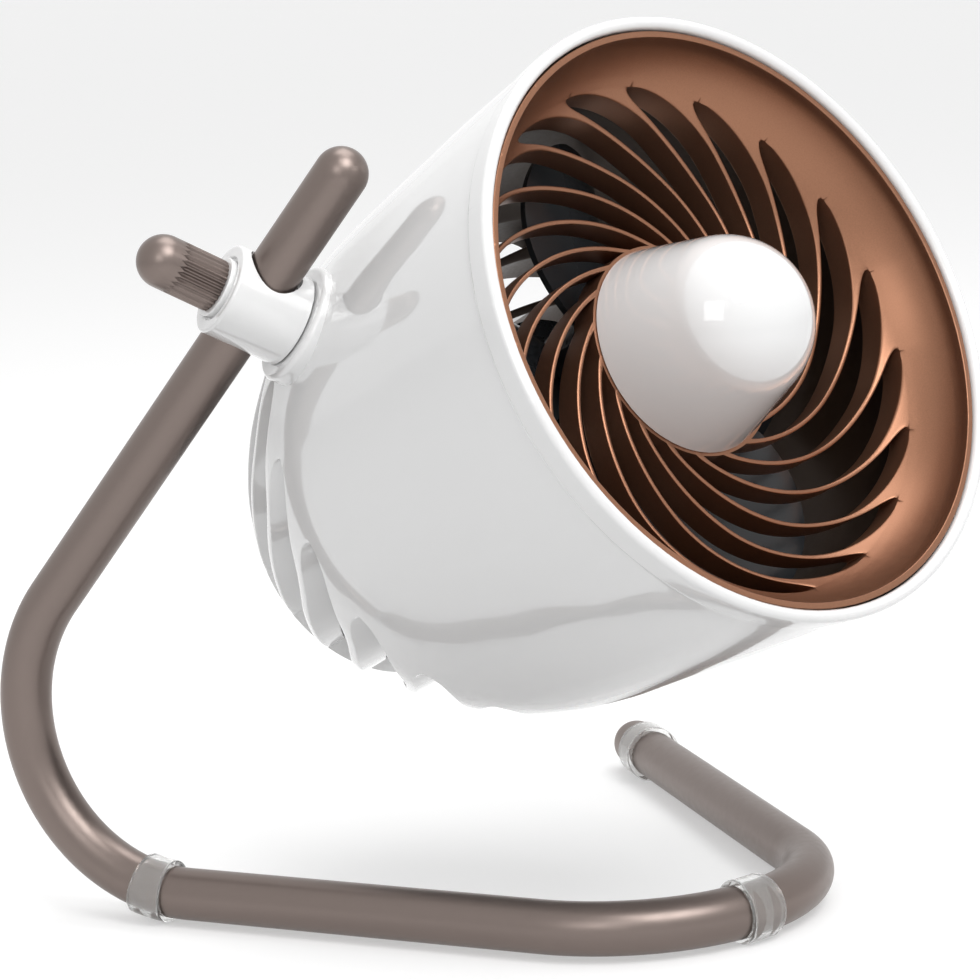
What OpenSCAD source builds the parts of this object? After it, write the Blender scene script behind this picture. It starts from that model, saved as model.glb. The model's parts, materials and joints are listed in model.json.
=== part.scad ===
/* [Stand] */
// Diameter of the bent rod
rod_d = 12.7; // [10:0.1:16]
// Straight length of the stem, up to the centre of its domed end
stem_len = 135.2; // [120:1:180]
// Angle of the bend that joins the stem to the left leg
stem_bend = 130.76; // [120:0.01:140]
// Centre-line radius of that bend
stem_bend_r = 43.8; // [35:0.1:60]
// Straight length of the left leg
left_leg_len = 95.5; // [85:0.5:140]
// Straight length of the right leg, up to the centre of its domed end
right_leg_len = 126.3; // [100:0.5:160]
// Angle between each leg and the line of symmetry
leg_splay = 23.65; // [18:0.05:35]
// Centre-line radius of the front bend
front_bend_r = 45; // [35:0.5:60]

/* [Foot bands] */
// Width of each clear band along the rod
band_w = 8.5; // [6:0.1:14]
// Thickness of each band
band_t = 1.3; // [0.8:0.1:2.5]
// Depth of the flat under each band
band_flat = 0.4; // [0.2:0.05:0.7]
// Distance of the left band's middle behind the start of the left leg
left_band_back = 9; // [5:0.5:9.5]
// Distance of the right band's middle before the centre of the leg's domed end
right_band_back = 11; // [8:0.5:30]

/* [Clamp] */
// Distance of the clamp's axis below the centre of the stem's domed end
clamp_drop = 39.5; // [20:0.5:80]
// Turn of the clamp about the stem
clamp_turn = 41.5; // [20:0.5:80]
// Radius of the clamp's barrel
barrel_r = 11.1; // [10.5:0.1:14]
// Length of the barrel on the knob's side of the stem
barrel_out = 9; // [9:0.1:14]
// Length of the barrel on the head's side of the stem
barrel_in = 10.3; // [9:0.1:14]
// Edge radius at the barrel's outer end
barrel_edge = 0.8; // [0.3:0.1:1.2]
// Radius of the recess in the barrel's outer end
recess_r = 8; // [7.8:0.1:9]
// Depth of that recess
recess_depth = 0.9; // [0.5:0.1:1.2]
// Wall of the split liner around the stem
liner_t = 0.5; // [0.4:0.05:0.8]
// Half of the liner's length along the stem
liner_half = 8.4; // [6:0.1:8.6]
// Width of the liner's slit
liner_slit = 1.2; // [0.5:0.1:3]
// Radius of the spigot that the head turns on
spigot_r = 5.5; // [4.5:0.1:7]

/* [Knob] */
// Radius of the knob
knob_r = 6.35; // [5.5:0.05:7.3]
// Length of the knob from its inner end to the centre of its dome
knob_len = 14; // [12.5:0.1:22]
// Length of the flutes
flute_len = 12; // [8:0.5:12.2]
// Number of flutes
flute_count = 28; // [20:1:32]
// Radius of each flute's cutter
flute_r = 0.42; // [0.3:0.02:0.5]
// Radius of the white collar under the knob
collar_r = 7.4; // [6.6:0.1:7.6]
// Distance of the knob's inner end beyond the barrel
collar_proud = 1; // [0.5:0.1:3]
// Nominal radius of the knob's screw
stud_r = 3; // [2.5:0.1:3.5]

/* [Head] */
// Tilt of the head about the clamp's axis
head_tilt = 28.1; // [0:0.1:60]
// Lean between the head's axis and the face of its boss
boss_lean = 4; // [2:0.1:6]
// Radius of the head's front rim
rim_r = 74; // [66:0.5:85]
// Depth of the shell from the rim plane to its back
shell_depth = 160; // [150:1:180]
// Distance of the clamp's axis behind the rim plane, on the head's axis
boss_depth = 77.9; // [74:0.1:84]
// Wall of the shell
shell_wall = 2.2; // [1.8:0.1:3]
// Width of the rounded front bead
bead_w = 3; // [2:0.1:4]
// Depth of the raised band behind the bead
bead_band = 5; // [3:0.5:9]
// Radius of the boss that faces the clamp
boss_r = 14.5; // [12.5:0.1:18]
// Distance that the boss stands off the shell's side
boss_proud = 2; // [1:0.1:5]
// Edge radius of the boss
boss_edge = 1.2; // [0.5:0.1:2]
// Thickness of the dark washer between clamp and boss
seam_t = 0.3; // [0.2:0.05:1]

/* [Rear vents] */
// Number of slots in the back of the shell
vent_count = 19; // [12:1:22]
// Radius of the slots' outer tips
vent_tip_r = 64.5; // [58:0.5:66]
// Radius of the slots' inner ends
vent_inner_r = 37; // [36.5:0.5:42]
// Depth of the fins between the slots
fin_depth = 6; // [4:0.5:10]
// Thickness of each fin
fin_t = 1.7; // [1.2:0.1:2.5]
// Radius of the arc that each fin follows
fin_arc_r = 44; // [42:0.5:48]
// Distance of that arc's centre from the head's axis
fin_arc_off = 33.5; // [32:0.5:36]

/* [Front grille] */
// Number of slots in the grille
vane_count = 19; // [12:1:24]
// Radius of the slots' outer tips
vane_tip_r = 63; // [55:0.5:64]
// Radius of the slots' inner ends
vane_inner_r = 26.2; // [26:0.1:30]
// Thickness of each vane
vane_t = 0.95; // [0.8:0.05:1.6]
// Depth of each vane
vane_depth = 7; // [5:0.5:10]
// Radius of the arc that each vane follows
vane_arc_r = 46.7; // [45:0.1:50]
// Distance of that arc's centre from the head's axis
vane_arc_off = 26.7; // [25:0.1:29]
// Radius of the dish's curved wall, in section
dish_r = 26.2; // [24:0.1:28]
// Depth of the dish's flat floor
dish_depth = 21.9; // [18:0.1:24]
// Width of the grille's flat lip
lip_w = 1.8; // [1.5:0.1:3]
// Depth of the skirt that seats in the shell
skirt_depth = 13; // [10:0.5:18]

/* [Nose dome] */
// Radius of the dome's round tip
nose_r = 20.5; // [18:0.1:22]
// Distance that the dome stands out past the rim plane
nose_proud = 14; // [8:0.5:17]
// Angle of the dome's side
nose_flare = 15.5; // [8:0.5:16]
// Wall of the dome
nose_wall = 2; // [1.5:0.1:3]

/* [Fan and motor] */
// Number of blades
blade_count = 5; // [3:1:7]
// Gap between the blades' tips and the inside of the shell
blade_gap = 4; // [2.5:0.1:8]
// Pitch of the blades
blade_pitch = 32; // [20:1:38]
// Thickness of each blade
blade_t = 1.8; // [1.2:0.1:3]
// Radius of the blades' curved section
blade_curve = 55; // [45:1:80]
// Radius of the fan's hub
hub_r = 19; // [16:0.5:22]
// Distance of the fan's middle behind the rim plane
fan_depth = 48; // [47:0.5:49]
// Radius of the motor
motor_r = 26; // [24:0.5:26.5]
// Length of the motor
motor_len = 46; // [42:1:48]
// Radius of the motor's shaft
shaft_r = 3; // [2.5:0.1:4]

/* [Back of the head] */
// Radius of the rear cap
cap_r = 23; // [22.5:0.1:24]
// Thickness of the rear cap
cap_t = 2.5; // [2:0.1:4]
// Radius of the speed button
button_r = 6; // [5:0.1:6]
// Distance that the button stands out of the cap
button_proud = 2.6; // [2.2:0.1:4]
// Radius of the bore for the power cord
cord_bore_r = 3.2; // [2.5:0.1:3.6]
// Turn that faces the back's controls upward
control_turn = -54.8; // [-90:0.1:0]

/* [Hidden] */
$fn = 96;

// Fits shared by the whole part
overrun = 1;
running = 0.05;
seat_gap = 0.1;
soft_gap = 0.3;

// Colours
metal = [0.50, 0.42, 0.37];
white = [0.93, 0.93, 0.92];
copper = [0.72, 0.43, 0.30];
clear = [0.85, 0.87, 0.88, 0.5];
dark = [0.12, 0.12, 0.13];
steel = [0.62, 0.62, 0.64];

// Stand
rod_r = rod_d / 2;
band_r = rod_r + band_t;
rod_z = band_r - band_flat;
left_band_angle = left_band_back / stem_bend_r * 180 / PI;

// Clamp
liner_r = rod_r + running + liner_t;
cross_bore_r = liner_r + running;
pilot_r = stud_r / 2;
pilot_depth = 2 * stud_r;
collar_t = recess_depth + collar_proud;
knob_start = barrel_out + collar_proud;
stud_tip = liner_r + 2 * seat_gap;
stud_socket = 2 * stud_r;

// Shell outline: shares of the shell's depth and of the rim's radius, from front to back
side_shares = [
    [0.035, 0.988], [0.1, 0.983], [0.2, 0.969], [0.3, 0.949], [0.4, 0.929], [0.5, 0.907],
    [0.575, 0.882], [0.65, 0.838], [0.725, 0.764], [0.8, 0.683], [0.875, 0.581],
    [0.925, 0.497], [0.965, 0.415], [0.99, 0.34], [1, 0.31]
];
smooth_steps = 3;
side_curve = smooth(side_shares, smooth_steps);

// Head
clamp_reach = side_r(boss_depth) + boss_proud + seam_t + barrel_in;
boss_face = clamp_reach - barrel_in - seam_t;
boss_t = 9.2;
boss_inner = boss_face - boss_t;
spring_t = 0.8;
retainer_t = 1;
retainer_r = 1.5 * spigot_r;
spigot_end = boss_inner - spring_t;
screw_head_t = 2;
screw_head_r = 3.2;
inner_share = 1 - fin_depth / shell_depth;
seat_r = rim_r - bead_w;
post_back_share = 0.92;
band_step = 0.45;

// Grille
lip_r = seat_r - seat_gap;
lip_t = 1.6;
ledge_t = 2;
dish_lip_r = lip_r - lip_w;
dish_lip_depth = 3;
dish_centre_z = dish_r - dish_depth;
dish_centre_r = dish_lip_r - sqrt(pow(dish_r, 2) - pow(dish_lip_depth + dish_centre_z, 2));
vane_phase = 3.2;
vane_tip_turn = 3.4;
vane_tip_len = 3;
vane_bulge_len = 8;

// Rear vents
vent_phase = 2.5;
vent_tip_turn = 2.5;
vent_tip_len = 3;
vent_bulge_len = 9;
outline_steps = 11;

// Nose
nose_centre_z = nose_proud - nose_r;
nose_post_r = 4;
nose_screw_r = 1.5;
nose_head_r = 2.6;
nose_head_t = 1.2;

// Fan and motor, as depths behind the rim plane
grille_back = dish_depth + vane_depth;
fan_half = 14;
hub_inset = 2;
hub_front = fan_depth - fan_half + hub_inset;
hub_back = fan_depth + fan_half;
blade_tip_r = inside_r(hub_back) - blade_gap;
blade_middle_share = 0.58;
blade_size_share = 0.43;
nut_t = 4;
nut_r = 4.8;
shaft_past_nut = 0.5;
shaft_front = hub_front - nut_t - shaft_past_nut;
motor_gap = 4;
motor_front = hub_back + motor_gap;
motor_back = motor_front + motor_len;
motor_split = motor_front + motor_len / 2;
motor_wall = 2;
bearing_r = 6.5;
bearing_t = 6;
core_t = 18;
core_w = 9.4;
stator_bore_r = motor_r - motor_wall - core_w;
rotor_r = stator_bore_r - soft_gap;
winding_t = 7;
bracket_t = 1.5;
post_pcd_r = 31;
post_r = 4.2;
grommet_t = 3;
grommet_r = 4;
motor_screw_r = 1.7;
bracket_lobe_r = 6.5;
post_front = motor_back + bracket_t + grommet_t;
post_back = shell_depth * post_back_share;
post_len = post_back - post_front;
post_bore_share = 0.85;
screw_share = 0.31;

// Back of the head
back_inner = shell_depth - fin_depth;
cap_open_r = 17.5;
cap_skirt_t = 2;
cap_screw_inset = 2.9;
cap_screw_pcd_r = cap_r - cap_screw_inset;
cap_screw_r = 1.1;
cap_screw_head_r = 2.2;
cap_screw_head_t = 1.2;
button_off = 7.5;
button_travel = 2;
button_flange_w = 0.4;
button_flange_t = 1.4;
button_stem_r = 2;
gland_off = 10.2;
gland_wall = 1.5;
gland_proud = 3.5;
gland_len = 10;
switch_w = 13;
switch_len = 13;
switch_front_gap = 4.5;
rib_t = 1.6;

// A curve through a list of points, with n steps between neighbours
function smooth(p, n) = let (last = len(p) - 1) [
    for (i = [0 : last - 1]) for (j = [0 : n - 1]) curve_point(p, i, j / n, last),
    p[last]
];
function curve_point(p, i, t, last) = let (
    before = (p[i + 1] - p[max(i - 1, 0)]) / 2,
    after = (p[min(i + 2, last)] - p[i]) / 2
) p[i] * (1 + 2 * t) * pow(1 - t, 2) + before * t * pow(1 - t, 2)
    + p[i + 1] * t * t * (3 - 2 * t) + after * t * t * (t - 1);

// Radius of the shell's outside at a depth behind the rim plane
function side_r(depth) = rim_r * lookup(depth / shell_depth, side_curve);

// Radius of the shell's inside at a depth behind the rim plane
function inside_r(depth) = rim_r * lookup(depth / (shell_depth - fin_depth), side_curve) - shell_wall;

// Turn, at radius r, of an arc of radius arc_r whose centre is arc_off from the axis
function arc_turn(r, arc_r, arc_off) = acos((r * r + arc_off * arc_off - arc_r * arc_r) / (2 * r * arc_off));

// A quarter circle's fall from 1 to 0 as u goes from 0 to 1
function round_off(u) = u >= 1 ? 0 : 1 - sqrt(1 - pow(1 - u, 2));

// Radius of the skirt, which follows the inside of the shell at the skirt's end
skirt_r = side_r(skirt_depth) - shell_wall - seat_gap;

function polar(r, a) = [r * cos(a), r * sin(a)];

// Outline of the slot between two curved ribs
function slot_outline(tip_r, inner_r, arc_r, arc_off, rib_t, pitch, tip_turn, tip_len, bulge_len) = let (
    radii = [for (i = [0 : outline_steps]) tip_r - (tip_r - inner_r) * pow(i / outline_steps, 2)],
    bulge = pitch - tip_turn + arc_turn(tip_r, arc_r - rib_t, arc_off) - arc_turn(tip_r, arc_r, arc_off),
    near = [for (r = radii) polar(r, -arc_turn(r, arc_r, arc_off) - tip_turn * round_off((tip_r - r) / tip_len))],
    far = [for (i = [outline_steps : -1 : 1]) let (r = radii[i]) polar(r,
        bulge * round_off((tip_r - r) / bulge_len) - pitch - arc_turn(r, arc_r - rib_t, arc_off))]
) concat(near, far);

module ring(front, back, outer_r, inner_r) difference() {
    disc(front, back, outer_r);
    disc(front - overrun, back + overrun, inner_r);
}
module disc(front, back, r) translate([0, 0, -back]) cylinder(h = back - front, r = r);
module tube_x(from, to, r) translate([from, 0, 0]) rotate([0, 90, 0]) cylinder(h = to - from, r = r);
module ring_x(from, to, outer_r, inner_r) difference() {
    tube_x(from, to, outer_r);
    tube_x(from - overrun, to + overrun, inner_r);
}

// Places on the stand
module at_front_bend() translate([0, front_bend_r, rod_z]) children();
module at_left_leg() at_front_bend() rotate(leg_splay - 90) translate([-left_leg_len, -front_bend_r, 0]) children();
module at_right_leg() at_front_bend() rotate(90 - leg_splay) translate([0, -front_bend_r, 0]) children();
module at_stem_bend() at_left_leg() translate([0, 0, stem_bend_r]) rotate([90, 0, 0]) rotate(-90) children();
module at_stem_top() at_stem_bend() rotate(-stem_bend) translate([stem_bend_r, 0, 0]) rotate([90, 0, 0])
    translate([0, 0, stem_len]) children();

// Clamp: x points to the knob and z up the stem; head: z points forward; rim: origin in the rim plane
module at_clamp() at_stem_top() translate([0, 0, -clamp_drop]) rotate(clamp_turn) children();
module at_head() at_clamp() rotate([-head_tilt, 0, 0]) translate([-clamp_reach, 0, 0])
    rotate([0, -boss_lean, 0]) children();
module at_rim() at_head() translate([0, 0, boss_depth]) children();
module at_boss() at_head() rotate([0, boss_lean, 0]) children();

module stand_rod() color(metal) {
    at_front_bend() rotate(180 + leg_splay) rotate_extrude(angle = 180 - 2 * leg_splay)
        translate([front_bend_r, 0]) circle(rod_r);
    at_left_leg() rotate([0, 90, 0]) cylinder(h = left_leg_len, r = rod_r);
    at_right_leg() rotate([0, 90, 0]) cylinder(h = right_leg_len, r = rod_r);
    at_right_leg() translate([right_leg_len, 0, 0]) sphere(rod_r);
    at_stem_bend() rotate_extrude(angle = -stem_bend) translate([stem_bend_r, 0]) circle(rod_r);
    at_stem_top() translate([0, 0, -stem_len]) cylinder(h = stem_len, r = rod_r);
    at_stem_top() sphere(rod_r);
}

// A band bent with the rod, cut flat where it stands
module bent_band(bend_r) rotate(-90 * band_w / (PI * bend_r)) rotate_extrude(angle = 180 * band_w / (PI * bend_r))
    translate([bend_r, 0]) difference() {
        circle(band_r);
        circle(rod_r);
    }
module cut_flat() difference() {
    children();
    translate([0, 0, -stem_len / 2]) cube([4 * stem_len, 4 * stem_len, stem_len], center = true);
}
module front_foot_band() color(clear) cut_flat() at_front_bend() rotate(-90) bent_band(front_bend_r);
module left_foot_band() color(clear) cut_flat() at_stem_bend() rotate(-left_band_angle) bent_band(stem_bend_r);
module right_foot_band() color(clear) cut_flat() at_right_leg()
    translate([right_leg_len - right_band_back - band_w / 2, 0, 0]) ring_x(0, band_w, band_r, rod_r);

module stem_liner() color(white) at_clamp() difference() {
    ring(-liner_half, liner_half, liner_r, rod_r + running);
    translate([-liner_r, 0, 0]) cube([2 * liner_t + liner_r / 2, liner_slit, 3 * liner_half], center = true);
}

module clamp_barrel() color(white) at_clamp() difference() {
    union() {
        tube_x(-barrel_in, barrel_out - barrel_edge, barrel_r);
        tube_x(-barrel_in, barrel_out, barrel_r - barrel_edge);
        translate([barrel_out - barrel_edge, 0, 0]) rotate([0, 90, 0]) rotate_extrude()
            translate([barrel_r - barrel_edge, 0]) circle(barrel_edge);
        tube_x(spigot_end - clamp_reach, overrun - barrel_in, spigot_r);
    }
    translate([0, 0, -2 * barrel_r]) cylinder(h = 4 * barrel_r, r = cross_bore_r);
    tube_x(barrel_out - recess_depth, barrel_out + overrun, recess_r);
    tube_x(0, barrel_out, stud_r + seat_gap);
    tube_x(spigot_end - clamp_reach - overrun, spigot_end - clamp_reach + pilot_depth, pilot_r + running);
}
module pivot_washer() color(dark) at_boss() ring_x(boss_face + running, boss_face + seam_t, barrel_r - barrel_edge, spigot_r);
module pivot_spring_washer() color(steel) at_boss()
    ring_x(spigot_end, boss_inner - running, retainer_r - seat_gap, spigot_r + seat_gap);
module pivot_retainer() color(steel) at_boss()
    ring_x(spigot_end - retainer_t, spigot_end, retainer_r, pilot_r + running);
module pivot_screw() color(steel) at_boss() {
    tube_x(spigot_end - retainer_t - screw_head_t, spigot_end - retainer_t, screw_head_r);
    tube_x(spigot_end - retainer_t - overrun, spigot_end + pilot_depth - overrun, pilot_r);
}

module knob_collar() color(white) at_clamp()
    ring_x(barrel_out - recess_depth + running, knob_start, collar_r, stud_r + running);
module knob_grip() color(metal) at_clamp() difference() {
    union() {
        tube_x(knob_start + running, knob_start + knob_len, knob_r);
        translate([knob_start + knob_len, 0, 0]) sphere(knob_r);
    }
    tube_x(knob_start, knob_start + stud_socket, stud_r);
    for (i = [1 : flute_count]) rotate([360 * i / flute_count, 0, 0]) translate([0, 0, knob_r]) flute();
}
module flute() tube_x(knob_start - overrun, knob_start + flute_len, flute_r, $fn = 24);
module knob_stud() color(steel) at_clamp() tube_x(stud_tip, knob_start + stud_socket, stud_r);

// Half section of the shell's side between the rim and its back
module side_section() {
    outer = [for (p = side_curve) [p[1] * rim_r, -p[0] * shell_depth]];
    inner = [for (i = [len(side_curve) - 1 : -1 : 0]) let (p = side_curve[i])
        [p[1] * rim_r - shell_wall, -p[0] * shell_depth * inner_share]];
    polygon(concat(outer, [[0, -shell_depth], [0, -shell_depth * inner_share]], inner));
}
module rim_section() {
    translate([rim_r - bead_w / 2, 0]) circle(bead_w / 2);
    polygon([[seat_r, 0], [rim_r, 0], [rim_r - band_step / 2, -bead_band], [rim_r - 2 * band_step, -bead_band - band_step],
        [seat_r, -bead_band - bead_w]]);
    translate([dish_lip_r, -skirt_depth - seat_gap - ledge_t]) square([side_r(skirt_depth) - dish_lip_r - shell_wall / 2, ledge_t]);
}
module ribs(count, phase) for (i = [1 : count]) rotate(phase + 360 * i / count) children();

module head_shell() color(white) {
    difference() {
        at_rim() rotate_extrude() union() {
            side_section();
            rim_section();
        }
        at_rim() mirror([0, 1, 0]) ribs(vent_count, -vent_phase) translate([0, 0, -shell_depth - overrun])
            linear_extrude(height = shell_depth / 2) polygon(slot_outline(vent_tip_r, vent_inner_r, fin_arc_r,
                fin_arc_off, fin_t, 360 / vent_count, vent_tip_turn, vent_tip_len, vent_bulge_len));
        at_rim() disc(back_inner - overrun, shell_depth + overrun, cap_open_r);
        at_rim() rotate(control_turn) for (s = [-1, 1]) translate([0, s * cap_screw_pcd_r, 0])
            disc(back_inner - overrun, shell_depth + overrun, cap_screw_r);
        at_boss() tube_x(boss_inner - overrun, clamp_reach, spigot_r + running);
    }
    difference() {
        at_boss() union() {
            tube_x(boss_inner, boss_face - boss_edge, boss_r);
            tube_x(boss_inner, boss_face, boss_r - boss_edge);
            translate([boss_face - boss_edge, 0, 0]) rotate([0, 90, 0]) rotate_extrude()
                translate([boss_r - boss_edge, 0]) circle(boss_edge);
        }
        at_boss() tube_x(boss_inner - overrun, clamp_reach, spigot_r + running);
    }
    at_rim() posts() difference() {
        disc(post_front, post_back, post_r);
        disc(post_front - overrun, post_front + post_len * post_bore_share, motor_screw_r - seat_gap);
    }
}
module posts() for (i = [0 : 2]) rotate(control_turn + 120 * i) translate([post_pcd_r, 0, 0]) children();

// The dish: a lip, a round wall and a flat floor, a rib's depth thick
module dish_section() difference() {
    union() {
        translate([dish_lip_r, -lip_t]) square([lip_w, lip_t]);
        translate([dish_lip_r, -skirt_depth]) square([skirt_r - dish_lip_r, skirt_depth]);
        intersection() {
            translate([dish_centre_r, dish_centre_z - vane_depth]) circle(dish_r);
            translate([dish_centre_r, -shell_depth / 2]) square([dish_lip_r + lip_w / 2 - dish_centre_r, shell_depth / 2]);
        }
        translate([0, -grille_back]) square([dish_centre_r, vane_depth]);
    }
    translate([dish_centre_r, dish_centre_z]) intersection() {
        circle(dish_r);
        translate([0, -dish_r]) square([dish_lip_r - dish_centre_r, 2 * dish_r]);
    }
    translate([0, -dish_depth]) square([dish_centre_r, shell_depth]);
}
module front_grille() color(copper) at_rim() difference() {
    rotate_extrude() dish_section();
    ribs(vane_count, vane_phase) translate([0, 0, -shell_depth / 2]) linear_extrude(height = shell_depth / 2)
        polygon(slot_outline(vane_tip_r, vane_inner_r, vane_arc_r, vane_arc_off, vane_t, 360 / vane_count,
            vane_tip_turn, vane_tip_len, vane_bulge_len));
    disc(0, grille_back + overrun, nose_screw_r + seat_gap);
}

module nose_dome() color(white) at_rim() difference() {
    union() {
        difference() {
            rotate_extrude() nose_section(0);
            translate([0, 0, -seat_gap]) rotate_extrude() nose_section(nose_wall);
        }
        disc(0, dish_depth, nose_post_r);
        disc(-nose_proud + nose_wall, 0, nose_post_r);
    }
    disc(overrun, dish_depth + overrun, nose_screw_r);
}
module nose_section(shrink) {
    tangent_r = (nose_r - shrink) * cos(nose_flare);
    tangent_z = nose_centre_z + (nose_r - shrink) * sin(nose_flare);
    intersection() {
        translate([0, nose_centre_z]) circle(nose_r - shrink);
        translate([0, tangent_z]) square([nose_r, nose_r]);
    }
    polygon([[0, tangent_z], [tangent_r, tangent_z],
        [tangent_r + (tangent_z + dish_depth) * tan(nose_flare), -dish_depth], [0, -dish_depth]]);
}
module nose_screw() color(steel) at_rim() {
    disc(grille_back, grille_back + nose_head_t, nose_head_r);
    disc(2 * overrun, grille_back + nose_head_t / 2, nose_screw_r);
}

module impeller() color(dark) at_rim() difference() {
    union() {
        disc(hub_front, hub_back, hub_r);
        for (i = [1 : blade_count]) rotate(360 * i / blade_count) blade();
    }
    disc(hub_front - overrun, hub_back + overrun, shaft_r);
    ring(hub_front + 2 * blade_t, hub_back + overrun, hub_r - blade_t, 2 * shaft_r);
}
module blade() intersection() {
    ring(fan_depth - fan_half, fan_depth + fan_half, blade_tip_r, hub_r - blade_t / 2);
    translate([blade_tip_r * blade_middle_share, 0, -fan_depth])
        cylinder(h = 4 * fan_half, r = blade_tip_r * blade_size_share, center = true);
    translate([0, 0, -fan_depth]) rotate([blade_pitch, 0, 0]) translate([0, 0, -blade_curve])
        rotate([0, 90, 0]) difference() {
            cylinder(h = blade_tip_r, r = blade_curve);
            translate([0, 0, -overrun]) cylinder(h = blade_tip_r + 2 * overrun, r = blade_curve - blade_t);
        }
}
module impeller_nut() color(steel) at_rim() difference() {
    translate([0, 0, -hub_front]) cylinder(h = nut_t, r = nut_r, $fn = 6);
    disc(0, hub_front + overrun, shaft_r);
}
module motor_shaft() color(steel) at_rim() disc(shaft_front, motor_back, shaft_r);
module rotor_core() color(steel) at_rim() ring(motor_split - core_t / 2, motor_split + core_t / 2, rotor_r, shaft_r);

module motor_half(from, to, end_from, end_to) {
    ring(from, to, motor_r, motor_r - motor_wall);
    ring(end_from, end_to, motor_r, bearing_r);
}
module motor_front_housing() color(steel) at_rim() {
    motor_half(motor_front, motor_split, motor_front, motor_front + motor_wall);
    ring(motor_front, motor_front + bearing_t, bearing_r + motor_wall, bearing_r);
}
module motor_rear_housing() color(steel) at_rim() {
    motor_half(motor_split, motor_back, motor_back - motor_wall, motor_back);
    ring(motor_back - bearing_t, motor_back, bearing_r + motor_wall, bearing_r);
}
module stator_core() color(steel) at_rim()
    ring(motor_split - core_t / 2, motor_split + core_t / 2, motor_r - motor_wall, stator_bore_r);
module stator_windings() color(copper) at_rim() {
    ring(motor_split - core_t / 2 - winding_t, motor_split - core_t / 2, motor_r - 2 * motor_wall, stator_bore_r + motor_wall);
    ring(motor_split + core_t / 2, motor_split + core_t / 2 + winding_t, motor_r - 2 * motor_wall, stator_bore_r + motor_wall);
}
module front_bearing() color(steel) at_rim() ring(motor_front, motor_front + bearing_t, bearing_r, shaft_r + running);
module rear_bearing() color(steel) at_rim() ring(motor_back - bearing_t, motor_back, bearing_r, shaft_r + running);
module motor_bracket() color(steel) at_rim() difference() {
    union() {
        disc(motor_back, motor_back + bracket_t, motor_r);
        posts() disc(motor_back, motor_back + bracket_t, bracket_lobe_r);
    }
    disc(motor_back - overrun, motor_back + bracket_t + overrun, bearing_r);
    posts() disc(motor_back - overrun, motor_back + bracket_t + overrun, motor_screw_r + seat_gap);
}
module motor_grommets() color(dark) at_rim() posts()
    ring(motor_back + bracket_t, post_front, grommet_r, motor_screw_r + seat_gap);
module motor_screws() color(steel) at_rim() posts() {
    disc(motor_back - screw_head_t, motor_back, screw_head_r);
    disc(motor_back - overrun, post_front + post_len * screw_share, motor_screw_r - seat_gap - running);
}

module rear_cap() color(white) at_rim() rotate(control_turn) difference() {
    union() {
        disc(shell_depth, shell_depth + cap_t, cap_r);
        ring(back_inner + overrun, shell_depth, cap_open_r - seat_gap, cap_open_r - cap_skirt_t);
        for (s = [-1, 1]) translate([button_off, s * (switch_w + rib_t) / 2, -shell_depth + switch_len / 2])
            cube([switch_w, rib_t, switch_len], center = true);
    }
    translate([button_off, 0, 0]) disc(shell_depth - overrun, shell_depth + cap_t + overrun, button_r + running);
    translate([-gland_off, 0, 0]) disc(shell_depth - overrun, shell_depth + cap_t + overrun, cord_bore_r + gland_wall);
    for (s = [-1, 1]) translate([0, s * cap_screw_pcd_r, 0])
        disc(shell_depth - overrun, shell_depth + cap_t + overrun, cap_screw_r + seat_gap);
}
module rear_cap_screws() color(steel) at_rim() rotate(control_turn) for (s = [-1, 1]) translate([0, s * cap_screw_pcd_r, 0]) {
    disc(shell_depth + cap_t, shell_depth + cap_t + cap_screw_head_t, cap_screw_head_r);
    disc(back_inner, shell_depth + cap_t + cap_screw_head_t / 2, cap_screw_r - running);
}
module speed_button() color(white) at_rim() rotate(control_turn) translate([button_off, 0, 0]) {
    disc(shell_depth - button_flange_t - running, shell_depth + cap_t + button_proud, button_r);
    disc(shell_depth - button_flange_t - running, shell_depth - running, button_r + button_flange_w);
    disc(shell_depth - switch_front_gap - overrun, shell_depth - button_flange_t, button_stem_r);
}
module switch_body() color(dark) at_rim() rotate(control_turn) translate([button_off, 0, 0]) difference() {
    translate([0, 0, -shell_depth + switch_front_gap + switch_len / 2])
        cube([switch_w, switch_w, switch_len], center = true);
    disc(shell_depth - switch_front_gap - button_travel - 2 * overrun, shell_depth, button_stem_r + running);
}
module cord_gland() color(dark) at_rim() rotate(control_turn) translate([-gland_off, 0, 0]) {
    ring(shell_depth + cap_t - gland_len + gland_proud, shell_depth + cap_t + gland_proud, cord_bore_r + gland_wall, cord_bore_r);
    ring(shell_depth + cap_t, shell_depth + cap_t + gland_wall, cord_bore_r + 2 * gland_wall, cord_bore_r);
}

stand_rod();
front_foot_band();
left_foot_band();
right_foot_band();
stem_liner();
clamp_barrel();
pivot_washer();
pivot_spring_washer();
pivot_retainer();
pivot_screw();
knob_collar();
knob_grip();
knob_stud();
head_shell();
front_grille();
nose_dome();
nose_screw();
impeller();
impeller_nut();
motor_shaft();
rotor_core();
motor_front_housing();
motor_rear_housing();
stator_core();
stator_windings();
front_bearing();
rear_bearing();
motor_bracket();
motor_grommets();
motor_screws();
rear_cap();
rear_cap_screws();
switch_body();
speed_button();
cord_gland();
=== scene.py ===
"""Air circulator fan: the finished look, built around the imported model. Lengths in here are millimetres."""
import json
import math
from dataclasses import dataclass

import bmesh
import bpy
import numpy as np
from mathutils import Matrix, Vector

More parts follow.
